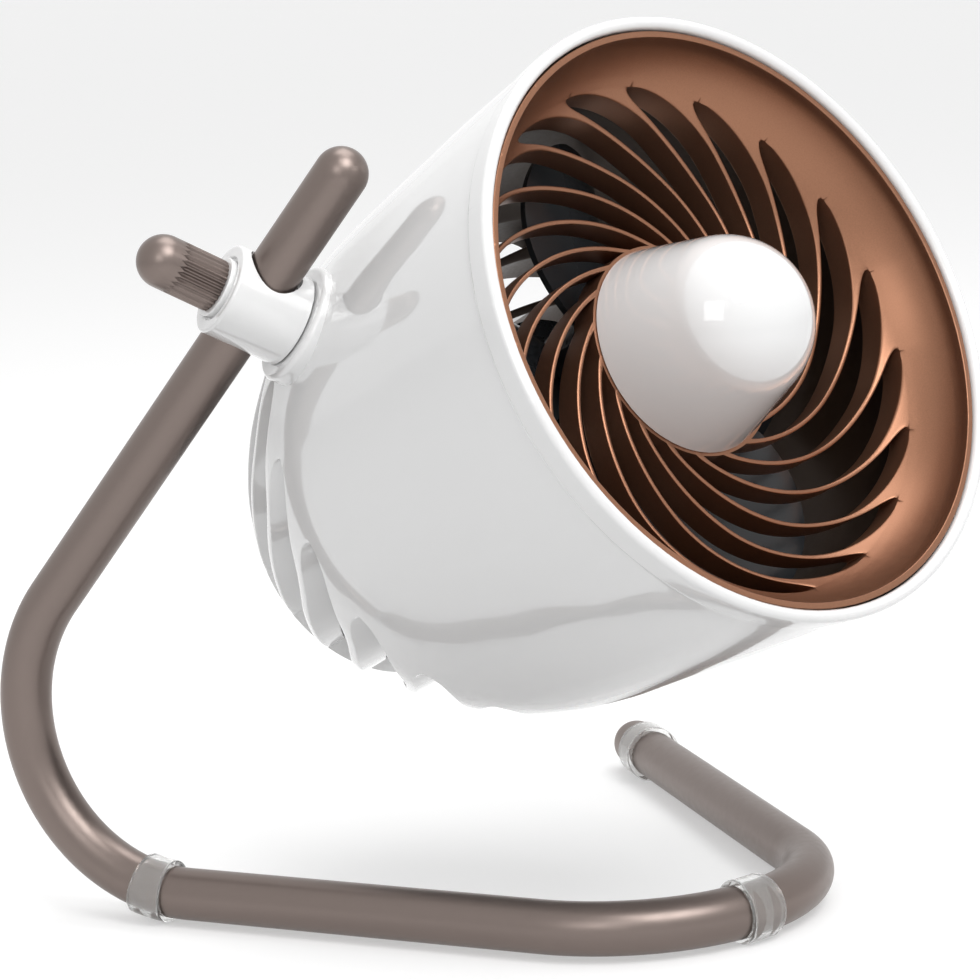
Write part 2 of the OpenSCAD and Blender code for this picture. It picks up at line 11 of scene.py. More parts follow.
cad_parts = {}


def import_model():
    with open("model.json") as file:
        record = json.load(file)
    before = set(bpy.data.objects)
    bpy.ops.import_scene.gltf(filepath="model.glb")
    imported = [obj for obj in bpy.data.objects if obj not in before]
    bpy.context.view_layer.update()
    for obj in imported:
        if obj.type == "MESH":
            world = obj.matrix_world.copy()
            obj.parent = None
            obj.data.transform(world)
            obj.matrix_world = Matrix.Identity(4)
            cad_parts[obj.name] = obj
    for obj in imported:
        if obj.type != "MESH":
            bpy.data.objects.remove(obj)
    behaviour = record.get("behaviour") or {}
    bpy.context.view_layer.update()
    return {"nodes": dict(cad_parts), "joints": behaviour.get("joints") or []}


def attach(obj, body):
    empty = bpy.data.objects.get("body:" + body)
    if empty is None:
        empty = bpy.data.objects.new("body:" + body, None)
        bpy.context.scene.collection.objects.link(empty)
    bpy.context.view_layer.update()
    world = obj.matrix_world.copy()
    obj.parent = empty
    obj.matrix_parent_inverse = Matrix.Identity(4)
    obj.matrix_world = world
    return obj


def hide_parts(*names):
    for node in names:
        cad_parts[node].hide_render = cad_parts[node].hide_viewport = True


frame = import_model()

MM = 0.001
NODES = frame["nodes"]
JOINTS = {j["name"]: j for j in frame["joints"]}

# Sizes shared with the model
ROD_R = 6.35
BAND_T = 1.3
BAND_W = 8.5
BAND_FLAT = 0.4
STEM_LEN = 135.2
STEM_BEND = 130.76
STEM_BEND_R = 43.8
LEFT_LEG = 95.5
RIGHT_LEG = 126.3
LEG_SPLAY = 23.65
FRONT_BEND_R = 45.0
LEFT_BAND_BACK = 9.0
RIGHT_BAND_BACK = 11.0
ROD_Z = ROD_R + BAND_T - BAND_FLAT
RIM_R = 74.0
SHELL_DEPTH = 160.0
BOSS_DEPTH = 77.9
SHELL_WALL = 2.2
CONTROL_TURN = -54.8


# Frames

def rot(axis, degrees):
    return Matrix.Rotation(math.radians(degrees), 4, axis)


def move(x, y, z):
    return Matrix.Translation((x, y, z))


def axes(origin, x, z):
    """A frame with its origin in millimetres, its x near x and its z along z."""
    z = Vector(z).normalized()
    x = Vector(x)
    x = (x - x.dot(z) * z).normalized()
    y = z.cross(x)
    m = Matrix((x, y, z)).transposed().to_4x4()
    m.translation = Vector(origin)
    return m


def point_mm(joint):
    return Vector(JOINTS[joint]["pos_m"]) / MM


FRONT = move(0, FRONT_BEND_R, ROD_Z)
LEFT = FRONT @ rot("Z", LEG_SPLAY - 90) @ move(-LEFT_LEG, -FRONT_BEND_R, 0)
BEND = LEFT @ move(0, 0, STEM_BEND_R) @ rot("X", 90) @ rot("Z", -90)
CLAMP = axes(point_mm("stem_pan"), JOINTS["head_tilt"]["axis"], JOINTS["stem_pan"]["axis"])
HEAD = axes(point_mm("fan_spin"), JOINTS["head_tilt"]["axis"], JOINTS["fan_spin"]["axis"])
RIM = HEAD @ move(0, 0, BOSS_DEPTH)
REACH = (point_mm("stem_pan") - point_mm("fan_spin")).length
BOSS = CLAMP @ move(-REACH, 0, 0)
ALONG_X = rot("Y", 90)
IN_PLACE = Matrix.Identity(4)


# Materials

def noise_node(nt, where, scale, detail):
    """A noise texture on the piece's own coordinates; scale is per millimetre."""
    n = nt.nodes.new("ShaderNodeTexNoise")
    n.inputs["Scale"].default_value = scale / MM
    n.inputs["Detail"].default_value = detail
    nt.links.new(where.outputs["Object"], n.inputs["Vector"])
    return n


def material(name, color, metallic=0.0, roughness=0.4, coat=0.0, coat_roughness=0.1, noise=None, bump=None,
             tint=0.0, transmission=0.0, ior=1.45):
    """Principled material; noise = (scale per mm, roughness swing), bump = (scale per mm, height in mm)."""
    m = bpy.data.materials.new(name)
    m.use_nodes = True
    nt = m.node_tree
    s = nt.nodes["Principled BSDF"]
    s.inputs["Base Color"].default_value = (*color, 1)
    s.inputs["Metallic"].default_value = metallic
    s.inputs["Roughness"].default_value = roughness
    s.inputs["Coat Weight"].default_value = coat
    s.inputs["Coat Roughness"].default_value = coat_roughness
    s.inputs["Transmission Weight"].default_value = transmission
    s.inputs["IOR"].default_value = ior
    where = nt.nodes.new("ShaderNodeTexCoord")
    if noise:
        scale, swing = noise
        n = noise_node(nt, where, scale, 3)
        ramp = nt.nodes.new("ShaderNodeMapRange")
        ramp.inputs["From Min"].default_value = 0.3
        ramp.inputs["From Max"].default_value = 0.7
        ramp.inputs["To Min"].default_value = roughness - swing
        ramp.inputs["To Max"].default_value = roughness + swing
        nt.links.new(n.outputs["Fac"], ramp.inputs["Value"])
        nt.links.new(ramp.outputs["Result"], s.inputs["Roughness"])
        if tint:
            mix = nt.nodes.new("ShaderNodeMix")
            mix.data_type = "RGBA"
            mix.inputs["A"].default_value = (*[c * (1 - tint) for c in color], 1)
            mix.inputs["B"].default_value = (*[min(1, c * (1 + tint)) for c in color], 1)
            nt.links.new(n.outputs["Fac"], mix.inputs["Factor"])
            nt.links.new(mix.outputs["Result"], s.inputs["Base Color"])
    if bump:
        scale, height = bump
        n = noise_node(nt, where, scale, 2)
        b = nt.nodes.new("ShaderNodeBump")
        b.inputs["Strength"].default_value = 1
        b.inputs["Distance"].default_value = height * MM
        nt.links.new(n.outputs["Fac"], b.inputs["Height"])
        nt.links.new(b.outputs["Normal"], s.inputs["Normal"])
    return m


def srgb(r, g, b):
    return tuple(((c / 255 + 0.055) / 1.055) ** 2.4 for c in (r, g, b))


WHITE = material("white gloss", (0.74, 0.74, 0.74), roughness=0.1, coat=1.0, coat_roughness=0.03,
                 noise=(0.05, 0.02), bump=(0.02, 0.01))
METAL = material("satin taupe metal", (0.2, 0.162, 0.146), metallic=0.95, roughness=0.36, noise=(0.5, 0.03),
                 tint=0.03)
COPPER = material("satin copper", (0.29, 0.14, 0.083), metallic=0.85, roughness=0.36, noise=(3.0, 0.08),
                  tint=0.2, bump=(5.0, 0.006))
# Painted shade: a dark brown for the inside of the white shell behind the grille, standing in for the shade
# in the duct
DUCT_SHADE = material("painted duct shade", srgb(64, 48, 36), metallic=0.3, roughness=0.35, noise=(1.0, 0.06),
                bump=(3.0, 0.01))
CLEAR = material("clear band", (0.95, 0.95, 0.94), roughness=0.06, transmission=0.9, ior=1.38,
                 noise=(0.3, 0.03))
DARK = material("black plastic", srgb(52, 55, 58), roughness=0.2, noise=(0.4, 0.05), bump=(2.0, 0.006))
STEEL = material("plain steel", srgb(170, 170, 172), metallic=1.0, roughness=0.32, noise=(1.0, 0.08),
                 tint=0.05)
RUBBER = material("black rubber", srgb(28, 28, 28), roughness=0.6, noise=(1.0, 0.1), bump=(3.0, 0.02))
WIRE = material("winding wire", srgb(176, 98, 48), metallic=0.7, roughness=0.35, noise=(1.5, 0.1), tint=0.2)


# Mesh building

WELD = 0.002
SLIVER = 0.001
SHARP = 40.0


def piece(name, verts, faces, place, body, mat, node=None, sharp=SHARP):
    """Adds a mesh whose points are in millimetres in the frame place."""
    mesh = bpy.data.meshes.new(name)
    pts = [MM * (place @ Vector(v)) for v in verts]
    mesh.from_pydata([tuple(p) for p in pts], [], faces)
    bm = bmesh.new()
    bm.from_mesh(mesh)
    bmesh.ops.remove_doubles(bm, verts=bm.verts, dist=WELD * MM)
    bmesh.ops.dissolve_degenerate(bm, edges=bm.edges, dist=SLIVER * MM)
    bmesh.ops.recalc_face_normals(bm, faces=bm.faces)
    bm.to_mesh(mesh)
    bm.free()
    mesh.polygons.foreach_set("use_smooth", [True] * len(mesh.polygons))
    mesh.set_sharp_from_angle(angle=math.radians(sharp))
    mesh.materials.append(mat)
    obj = bpy.data.objects.new(name, mesh)
    bpy.context.scene.collection.objects.link(obj)
    even_normals(obj)
    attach(obj, body)
    if node:
        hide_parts(node)
    return obj


def lathe(profile, segments=96, closed=True):
    """Turns (r, z) points about z; a closed profile is a ring's section."""
    verts = []
    faces = []
    n = len(profile)
    for k in range(segments):
        a = 2 * math.pi * k / segments
        verts += [(r * math.cos(a), r * math.sin(a), z) for r, z in profile]
    last = n if closed else n - 1
    for k in range(segments):
        j = (k + 1) % segments
        for i in range(last):
            i2 = (i + 1) % n
            faces.append([k * n + i, j * n + i, j * n + i2, k * n + i2])
    return verts, faces


def arc(cx, cz, r, start, end, steps=8):
    angles = [math.radians(start + (end - start) * i / steps) for i in range(steps + 1)]
    return [(cx + r * math.cos(a), cz + r * math.sin(a)) for a in angles]


def ring_faces(rings, segments, closed=False):
    """Quads between neighbouring rings of points; closed joins the last ring to the first."""
    faces = []
    for i in range(rings if closed else rings - 1):
        near, far = i * segments, (i + 1) % rings * segments
        for k in range(segments):
            j = (k + 1) % segments
            faces.append([near + k, near + j, far + j, far + k])
    return faces


def tube(stations, radius, segments):
    """Sweeps rings along stations of (place, radius share); the place's z is the tube's direction."""
    verts = []
    for m, share in stations:
        for k in range(segments):
            a = 2 * math.pi * k / segments
            verts.append(tuple(m @ Vector((radius * share * math.cos(a), radius * share * math.sin(a), 0))))
    faces = ring_faces(len(stations), segments)
    faces.append(list(range(segments))[::-1])
    faces.append([(len(stations) - 1) * segments + k for k in range(segments)])
    return verts, faces


def cylinder(r, low, high, segments=96):
    verts, faces = lathe([(r, low), (r, high)], segments, closed=False)
    faces.append([2 * k for k in range(segments)][::-1])
    faces.append([2 * k + 1 for k in range(segments)])
    return verts, faces


def apply_modifiers(obj):
    bpy.context.view_layer.update()
    graph = bpy.context.evaluated_depsgraph_get()
    mesh = bpy.data.meshes.new_from_object(obj.evaluated_get(graph))
    obj.modifiers.clear()
    obj.data = mesh


def even_normals(obj):
    """Keeps flat faces flat where they meet a rounding."""
    mod = obj.modifiers.new("normals", "WEIGHTED_NORMAL")
    mod.keep_sharp = True
    mod.weight = 80
    apply_modifiers(obj)


def cut(obj, verts, faces, place):
    """Subtracts a closed shape, given in millimetres, from a piece."""
    mesh = bpy.data.meshes.new("cutter")
    mesh.from_pydata([tuple(MM * (place @ Vector(v))) for v in verts], [], faces)
    bm = bmesh.new()
    bm.from_mesh(mesh)
    bmesh.ops.recalc_face_normals(bm, faces=bm.faces)
    bm.to_mesh(mesh)
    bm.free()
    tool = bpy.data.objects.new("cutter", mesh)
    bpy.context.scene.collection.objects.link(tool)
    mod = obj.modifiers.new("cut", "BOOLEAN")
    mod.operation = "DIFFERENCE"
    mod.solver = "EXACT"
    mod.object = tool
    apply_modifiers(obj)
    bpy.data.objects.remove(tool)


def bevel(obj, width, angle):
    """Rounds the edges that are sharper than angle."""
    mod = obj.modifiers.new("bevel", "BEVEL")
    mod.width = width * MM
    mod.segments = 3
    mod.limit_method = "ANGLE"
    mod.angle_limit = math.radians(angle)
    mod.harden_normals = False
    apply_modifiers(obj)
    obj.data.polygons.foreach_set("use_smooth", [True] * len(obj.data.polygons))
    obj.data.set_sharp_from_angle(angle=math.radians(SHARP))
    even_normals(obj)


# Stand

ROD_SEGMENTS = 96
DOME_STEPS = 12
BEND_STEPS = 48
STRAIGHT_STEPS = 10
POLE_SHARE = 0.002
BAND_SEGMENTS = 72
BAND_EDGE = 0.35
BAND_GAP = 0.03
FRONT_MIDDLE = 270


def rod_place(kind, t):
    """Frame on the rod's centre line, z along it from the stem's top to the right leg's end."""
    if kind == "stem":
        return BEND @ rot("Z", -STEM_BEND) @ move(STEM_BEND_R, -t, 0) @ rot("X", -90)
    if kind == "stem bend":
        return BEND @ rot("Z", -t) @ move(STEM_BEND_R, 0, 0) @ rot("X", -90)
    if kind == "left leg":
        return BEND @ move(STEM_BEND_R, t, 0) @ rot("X", -90)
    if kind == "front bend":
        return FRONT @ rot("Z", t) @ move(FRONT_BEND_R, 0, 0) @ rot("X", -90)
    return FRONT @ rot("Z", -LEG_SPLAY) @ move(FRONT_BEND_R, t, 0) @ rot("X", -90)


def rod_stations():
    """Rings from the stem's domed top to the right leg's domed end, as (place, radius share)."""
    dome = [math.radians(90 * i / DOME_STEPS) for i in range(DOME_STEPS + 1)]
    bend = [i / BEND_STEPS for i in range(BEND_STEPS + 1)]
    straight = [i / STRAIGHT_STEPS for i in range(1, STRAIGHT_STEPS)]
    front_turn = 180 - 2 * LEG_SPLAY
    out = [("stem", STEM_LEN + ROD_R * math.cos(a), max(math.sin(a), POLE_SHARE)) for a in dome]
    out += [("stem", STEM_LEN * (1 - t), 1) for t in straight]
    out += [("stem bend", STEM_BEND * (1 - t), 1) for t in bend]
    out += [("left leg", LEFT_LEG * t, 1) for t in straight]
    out += [("front bend", 180 + LEG_SPLAY + front_turn * t, 1) for t in bend]
    out += [("right leg", RIGHT_LEG * t, 1) for t in straight]
    out += [("right leg", RIGHT_LEG + ROD_R * math.sin(a), max(math.cos(a), POLE_SHARE)) for a in dome]
    return even_frames([(rod_place(kind, t), share) for kind, t, share in out])


def even_frames(stations):
    """Carries the first ring's x along the path, so that the rings don't twist."""
    out = []
    x = stations[0][0].col[0].to_3d()
    for m, share in stations:
        z = m.col[2].to_3d().normalized()
        x = (x - x.dot(z) * z).normalized()
        out.append((axes(m.translation, x, z), share))
    return out


def band_section():
    """Half-rounded section of a foot band, as (place along the rod, radius)."""
    half = BAND_W / 2
    outer = ROD_R + BAND_T
    inner = ROD_R + BAND_GAP
    section = [(-half, inner), (-half, outer - BAND_EDGE)]
    section += arc(-half + BAND_EDGE, outer - BAND_EDGE, BAND_EDGE, 180, 90, 3)[1:]
    section += [(BAND_W * f, outer) for f in (-0.3, -0.15, 0, 0.15, 0.3)]
    section += arc(half - BAND_EDGE, outer - BAND_EDGE, BAND_EDGE, 90, 0, 3)
    return section + [(half, inner), (0, inner)]


def band(name, kind, middle, per_mm=1.0):
    """A clear band round the rod, flat where it rests; per_mm turns a length into the rod place's measure."""
    verts = []
    section = band_section()
    for along, r in section:
        m = rod_place(kind, middle + along * per_mm)
        for k in range(BAND_SEGMENTS):
            a = 2 * math.pi * k / BAND_SEGMENTS
            p = m @ Vector((r * math.cos(a), r * math.sin(a), 0))
            verts.append((p.x, p.y, max(p.z, 0.0)))
    faces = ring_faces(len(section), BAND_SEGMENTS, closed=True)
    piece(name + "_look", verts, faces, IN_PLACE, "stand", CLEAR, name)


def stand():
    verts, faces = tube(rod_stations(), ROD_R, ROD_SEGMENTS)
    piece("stand_rod_look", verts, faces, IN_PLACE, "stand", METAL, "stand_rod")
    band("front_foot_band", "front bend", FRONT_MIDDLE, math.degrees(1 / FRONT_BEND_R))
    back = math.degrees(LEFT_BAND_BACK / STEM_BEND_R)
    band("left_foot_band", "stem bend", back, math.degrees(-1 / STEM_BEND_R))
    band("right_foot_band", "right leg", RIGHT_LEG - RIGHT_BAND_BACK)


# Clamp and knob

BARREL_R = 11.1
BARREL_OUT = 9.0
BARREL_IN = 10.3
BARREL_EDGE = 0.8
BARREL_BEVEL = 0.35
INNER_CHAMFER = 0.3
RECESS_R = 8.0
RECESS_DEPTH = 0.9
RECESS_EDGE = 0.5
RECESS_FLOOR = BARREL_OUT - RECESS_DEPTH
CROSS_BORE_R = 6.95
BORE_HALF = 30
SPIGOT_R = 5.5
SPIGOT_END = -20.5
SCREW_BORE_R = 1.6
STUD_R = 3.05
STUD_BORE_R = 3.1
STUD_BORE_END = 6.0
SCREW_BORE_START = 5.0
SEAM_T = 0.3
SEAM_GAP = 0.05
COLLAR_R = 7.4
COLLAR_EDGE = 0.3
KNOB_START = 10.0
KNOB_LEN = 14.0
KNOB_R = 6.35
FLUTES = 28
FLUTE_POINTS = 12
FLUTE_LEN = 12.0
FLUTE_TAPER = 1.6
FLUTE_DEPTH = 0.6
FLUTE_HALF_SHARE = 0.42
KNOB_EDGE = 0.3


def clamp():
    profile = [(SPIGOT_R, SPIGOT_END), (SPIGOT_R, -BARREL_IN), (BARREL_R - INNER_CHAMFER, -BARREL_IN),
               (BARREL_R, -BARREL_IN + INNER_CHAMFER), (BARREL_R, BARREL_OUT - BARREL_EDGE - 3)]
    profile += arc(BARREL_R - BARREL_EDGE, BARREL_OUT - BARREL_EDGE, BARREL_EDGE, 0, 90, 6)
    profile += arc(RECESS_R + RECESS_EDGE, BARREL_OUT - RECESS_EDGE, RECESS_EDGE, 90, 180, 4)
    profile += [(RECESS_R, RECESS_FLOOR), (STUD_BORE_R, RECESS_FLOOR), (STUD_BORE_R, STUD_BORE_END),
                (SCREW_BORE_R, SCREW_BORE_START), (SCREW_BORE_R, SPIGOT_END)]
    verts, faces = lathe(profile)
    place = CLAMP @ ALONG_X
    obj = piece("clamp_barrel_look", verts, faces, place, "clamp", WHITE, "clamp_barrel")
    cut(obj, *cylinder(CROSS_BORE_R, -BORE_HALF, BORE_HALF), CLAMP)
    bevel(obj, BARREL_BEVEL, 50)
    low = REACH - BARREL_IN - SEAM_T + SEAM_GAP
    high = REACH - BARREL_IN
    outer = BARREL_R - BARREL_EDGE
    verts, faces = lathe([(SPIGOT_R, low), (outer, low), (outer, high), (SPIGOT_R, high)])
    piece("pivot_washer_look", verts, faces, BOSS @ ALONG_X, "clamp", DARK, "pivot_washer")


def groove_share(across, width):
    """Depth share of a flute at a place across its pitch; width narrows it to a point."""
    if width <= 0:
        return 0
    half = FLUTE_HALF_SHARE * width
    d = abs(across - 0.5)
    return math.cos(math.pi / 2 * d / half) * width if d < half else 0


def knob_rows():
    """Rings of the knob, as (place along it, change of radius, width share of the flutes)."""
    start = KNOB_START + SEAM_GAP
    edge = KNOB_START + KNOB_EDGE
    taper = KNOB_START + FLUTE_LEN - FLUTE_TAPER
    dome = KNOB_START + KNOB_LEN
    rows = [(start, -0.9, 1), (start, -0.25, 1), (edge, 0, 1)]
    rows += [(edge + (taper - edge) * i / 6, 0, 1) for i in range(1, 7)]
    rows += [(taper + FLUTE_TAPER * i / 8, 0, 1 - i / 8) for i in range(1, 9)]
    rows += [(dome, 0, 0)]
    turns = [math.radians(a) for a in range(6, 90, 6)]
    return rows + [(dome + KNOB_R * math.sin(a), KNOB_R * (math.cos(a) - 1), 0) for a in turns]


def knob():
    side = COLLAR_R - COLLAR_EDGE
    low = RECESS_FLOOR + SEAM_GAP
    profile = [(STUD_R, low)] + arc(side, low + COLLAR_EDGE, COLLAR_EDGE, -90, 0, 3)
    profile += arc(side, KNOB_START - COLLAR_EDGE, COLLAR_EDGE, 0, 90, 4) + [(STUD_R, KNOB_START)]
    verts, faces = lathe(profile)
    place = CLAMP @ ALONG_X
    piece("knob_collar_look", verts, faces, place, "collar", WHITE, "knob_collar")
    n = FLUTES * FLUTE_POINTS
    rows = knob_rows()
    verts = []
    for x, change, width in rows:
        for k in range(n):
            a = 2 * math.pi * k / n
            r = KNOB_R + change - FLUTE_DEPTH * groove_share((k % FLUTE_POINTS) / FLUTE_POINTS, width)
            verts.append((r * math.cos(a), r * math.sin(a), x))
    tip = len(verts)
    verts.append((0, 0, KNOB_START + KNOB_LEN + KNOB_R))
    faces = ring_faces(len(rows), n)
    last = (len(rows) - 1) * n
    faces += [[last + k, last + (k + 1) % n, tip] for k in range(n)]
    faces.append(list(range(n))[::-1])
    piece("knob_grip_look", verts, faces, place, "knob", METAL, "knob_grip")


# Slotted plates

EDGE_RAMP_SHARES = (0.0, 0.1, 0.35, 1.0)
RIB_COLUMNS = 6
SLOT_COLUMNS = 5
RIB_STEPS = 44
RIB_CROWD = 1.7


def limited(value, low, high):
    return max(low, min(high, value))


def rounding(u):
    """Drop of a quarter circle at a share u of its width."""
    return 1 - math.sqrt(max(0.0, 1 - (1 - u) ** 2))


def spaced(high, low, steps, power=1.0):
    return [high - (high - low) * (i / steps) ** power for i in range(steps + 1)]


@dataclass
class Ribs:
    """Curved ribs between slots. Each rib's edges are arcs whose centre lies arc_off from the axis."""
    count: int
    phase: float
    arc_r: float
    arc_off: float
    rib_t: float
    tip_r: float
    inner_r: float
    tip_turn: float
    tip_len: float
    bulge_len: float
    hand: int

    @property
    def pitch(self):
        return 360 / self.count

    def turn(self, r, arc_r):
        c = (r * r + self.arc_off ** 2 - arc_r ** 2) / (2 * r * self.arc_off)
        return math.degrees(math.acos(limited(c, -1, 1)))

    @staticmethod
    def fall(u):
        return 0 if u >= 1 else rounding(u)

    def edges(self, r):
        """Start and end of a rib's span at radius r, in degrees; a slot's outer end is rounded."""
        r = limited(r, self.inner_r, self.tip_r)
        back_r = self.arc_r - self.rib_t
        near = -self.turn(r, self.arc_r) - self.tip_turn * self.fall((self.tip_r - r) / self.tip_len)
        bulge = self.pitch - self.tip_turn + self.turn(self.tip_r, back_r) - self.turn(self.tip_r, self.arc_r)
        far = bulge * self.fall((self.tip_r - r) / self.bulge_len) - self.turn(r, back_r)
        return near, far

    def slant(self, r):
        """Cosine of the angle between the rib and the radius."""
        a = math.radians(self.turn(r - 0.5, self.arc_r) - self.turn(r + 0.5, self.arc_r))
        return 1 / math.sqrt(1 + (r * a) ** 2)

    def radii(self):
        return spaced(self.tip_r, self.inner_r, RIB_STEPS, RIB_CROWD)


def rib_columns(ribs, kind, r, edge):
    """Angles across a rib with its slot's near side first, and how far the rounded edges drop there."""
    near, far = ribs.edges(r)
    wide = math.radians(far - near) * r * ribs.slant(r)
    slot = math.radians(ribs.pitch - far + near) * r * ribs.slant(r)
    depth = min(edge, 0.45 * wide, 0.5 * slot, (r - ribs.inner_r) * 0.6) if kind == "rib" else 0
    edge_share = max(min(edge, 0.45 * wide), SLIVER) / wide
    shares = [edge_share * s for s in EDGE_RAMP_SHARES]
    middle = [edge_share + (1 - 2 * edge_share) * (i + 1) / RIB_COLUMNS for i in range(RIB_COLUMNS - 1)]
    shares = shares + middle + [1 - s for s in reversed(shares)]
    drops = [max(0, depth) * rounding(s) for s in EDGE_RAMP_SHARES]
    drops = drops + [0] * (RIB_COLUMNS - 1) + drops[::-1]
    return [near + (far - near) * s for s in shares], drops


def ribbed(ribs, ring_rows, rib_rows, hub_rows, edge):
    """A plate with curved slots. A row is (outer r, outer z, inner r, inner z); rib rows have one radius."""
    verts = []
    faces = []
    kinds = [("ring", row) for row in ring_rows]
    kinds += [("rib", row) for row in rib_rows]
    kinds += [("hub", row) for row in hub_rows]
    for k in range(ribs.count):
        base = ribs.phase + ribs.pitch * k
        top, bottom = [], []
        for kind, (ro, zo, ri, zi) in kinds:
            r = {"ring": ribs.tip_r, "rib": ro, "hub": ribs.inner_r}[kind]
            angles, drops = rib_columns(ribs, kind, r, edge)
            if kind == "hub":
                gap = (ribs.pitch - angles[-1] + angles[0]) / SLOT_COLUMNS
                angles = angles + [angles[-1] + gap * (i + 1) for i in range(SLOT_COLUMNS)]
                drops = drops + [0] * SLOT_COLUMNS
            columns = [(ribs.hand * (base + a), d) for a, d in zip(angles, drops)]
            top.append((kind, [(ro, a, zo - math.copysign(d, zo - zi)) for a, d in columns]))
            bottom.append((kind, [(ri, a, zi + math.copysign(d, zo - zi)) for a, d in columns]))
        more_verts, more_faces = sector(top, bottom)
        faces += [[len(verts) + i for i in f] for f in more_faces]
        verts += more_verts
    return verts, faces


def sector(top, bottom):
    """Skins one rib's share of the plate: both faces, the slot's walls and the slot's inner end."""
    verts = []
    faces = []
    index = {}

    def put(p):
        key = tuple(round(c, 5) for c in p)
        if key not in index:
            r, a, z = p[0], math.radians(p[1]), p[2]
            index[key] = len(verts)
            verts.append((r * math.cos(a), r * math.sin(a), z))
        return index[key]

    def quad(*corners):
        ids = list(dict.fromkeys(put(p) for p in corners))
        if len(ids) > 2:
            faces.append(ids)

    def wall(t1, t2, b1, b2, j):
        quad(t1[j], t2[j], b2[j], b1[j])

    for i in range(len(top) - 1):
        (k1, t1), (k2, t2) = top[i], top[i + 1]
        b1, b2 = bottom[i][1], bottom[i + 1][1]
        last = min(len(t1), len(t2)) - 1
        for j in range(last):
            quad(t1[j], t1[j + 1], t2[j + 1], t2[j])
            quad(b1[j], b2[j], b2[j + 1], b1[j + 1])
        if k2 == "rib" or k1 == "rib":
            wall(t1, t2, b1, b2, 0)
            wall(t1, t2, b1, b2, last)
        if k1 == "rib" and k2 == "hub":
            for j in range(last, len(t2) - 1):
                quad(t2[j], t2[j + 1], b2[j + 1], b2[j])
    first_t, first_b = top[0][1], bottom[0][1]
    for j in range(len(first_t) - 1):
        quad(first_t[j], first_b[j], first_b[j + 1], first_t[j + 1])
    last_t, last_b = top[-1][1], bottom[-1][1]
    for j in range(len(last_t) - 1):
        quad(last_t[j], last_t[j + 1], last_b[j + 1], last_b[j])
    return verts, faces


# Head shell

SIDE_SHARES = [
    (0.035, 0.988), (0.1, 0.983), (0.2, 0.969), (0.3, 0.949), (0.4, 0.929), (0.5, 0.907),
    (0.575, 0.882), (0.65, 0.838), (0.725, 0.764), (0.8, 0.683), (0.875, 0.581),
    (0.925, 0.497), (0.965, 0.415), (0.99, 0.34), (1, 0.31)]
INNER_SHARE = 0.9625
FIN_DEPTH = 8.0
FIN_TIP_DEPTH = 16.0
FIN_EDGE = 0.55
BEAD_R = 1.5
RIM_SEAT_R = RIM_R - 2 * BEAD_R
RIM_SEAT_DEPTH = 6.0
# Inset from the rim and depth of the points of the groove behind the bead
GROOVE = [(0.05, 1.5), (0.2, 4.6), (0.35, 4.95), (0.75, 5.25), (0.87, 5.7)]
SIDE_START = 6.2
HUB_STEPS = 14
HUB_R = 23.4
BACK_OUTER_R = 22.6
BACK_INNER_R = 20.6
BACK_BORE_R = 17.5
BACK_WALL = 6.0
# Depths between which the shell's inside gets the painted shade
DUCT_SHADE_START = 13.0
DUCT_SHADE_END = 112.0
POST_R = 4.2
POST_BORE_R = 1.6
POST_FRONT = 116.5
POST_SIDE_END = 149.5
POST_BORE_END = 147.0
POST_PLACE_R = 31.0
BOSS_R = 14.5
BOSS_BORE_R = 5.55
BOSS_EDGE = 1.2
BOSS_LEN = 9.2

VENTS = Ribs(count=19, phase=-2.5, arc_r=44.0, arc_off=33.5, rib_t=1.7, tip_r=64.5, inner_r=37.0,
             tip_turn=3.4, tip_len=2.2, bulge_len=7.0, hand=-1)


def smooth_curve(points, steps):
    p = [np.array(q, float) for q in points]
    last = len(p) - 1
    out = []
    for i in range(last):
        m1 = (p[i + 1] - p[max(i - 1, 0)]) / 2
        m2 = (p[min(i + 2, last)] - p[i]) / 2
        for j in range(steps):
            t = j / steps
            out.append(p[i] * (1 + 2 * t) * (1 - t) ** 2 + m1 * t * (1 - t) ** 2
                       + p[i + 1] * t * t * (3 - 2 * t) + m2 * t * t * (t - 1))
    out.append(p[last])
    return np.array(out)


# Depth and radius along the shell's side
SIDE = smooth_curve(SIDE_SHARES, 8) * np.array([SHELL_DEPTH, RIM_R])


def outer_depth(r):
    """Depth of the shell's outside at radius r, past the front of the taper."""
    return float(np.interp(-r, -SIDE[:, 1], SIDE[:, 0]))


def inner_depth(r):
    """Depth of the fins' and the hub's inner side: the fins grow deeper towards their tips."""
    grow = limited((r - VENTS.inner_r) / (VENTS.tip_r - VENTS.inner_r), 0.0, 1.0)
    return outer_depth(r) - FIN_DEPTH - (FIN_TIP_DEPTH - FIN_DEPTH) * grow


def shell_ring():
    """Rows of the closed part of the shell, from the front bead to the vents."""
    tip_o, tip_i = outer_depth(VENTS.tip_r), inner_depth(VENTS.tip_r)
    turns = [math.radians(a) for a in (180, 150, 120, 90, 65, 40, 20, 0)]
    outer = [(RIM_R - BEAD_R + BEAD_R * math.cos(a), BEAD_R * math.sin(a)) for a in turns]
    outer += [(RIM_R - inset, -d) for inset, d in GROOVE]
    outer += [(r, -d) for d, r in SIDE if SIDE_START < d < tip_o - 0.5] + [(VENTS.tip_r, -tip_o)]
    side = [(r - SHELL_WALL, -d * INNER_SHARE) for d, r in SIDE]
    side = [(r, z) for r, z in side if r > VENTS.tip_r + 0.3 and -z < tip_i - 1]
    spread = np.linspace(0, len(side) - 1, len(outer) - 1)
    zi = np.interp(spread, range(len(side)), [z for r, z in side])
    ri = np.interp(spread, range(len(side)), [r for r, z in side])
    ri = [RIM_SEAT_R if z > -RIM_SEAT_DEPTH else r for r, z in zip(ri, zi)]
    inner = [(RIM_SEAT_R, 0)] + list(zip(ri, zi))[1:] + [(VENTS.tip_r, -tip_i)]
    return [(*o, *i) for o, i in zip(outer, inner)]


